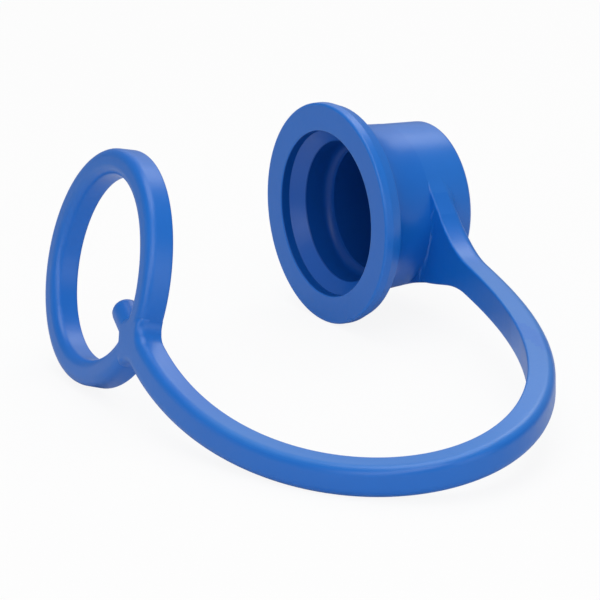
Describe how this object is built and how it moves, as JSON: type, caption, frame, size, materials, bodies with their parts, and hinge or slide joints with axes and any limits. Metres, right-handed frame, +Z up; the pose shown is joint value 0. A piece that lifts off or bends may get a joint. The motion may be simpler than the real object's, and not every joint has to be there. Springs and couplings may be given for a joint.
{
  "type": "quick coupling dust cap",
  "caption": "Flexible vinyl dust cap for a quick coupling, moulded in one piece with its tether strap and retaining ring.",
  "frame": {"origin": "middle of the underside of the bounding box, on the surface that the piece rests on", "axes": "+X from the ring towards the cup, which it meets at the mouth; -Y towards the bow of the strap; +Z up"},
  "size_m": [0.0746, 0.104, 0.0368],
  "materials": {
    "blue_vinyl": "satin"
  },
  "bodies": {
    "root": {"dust_cap": "blue_vinyl"}
  },
  "joints": []
}
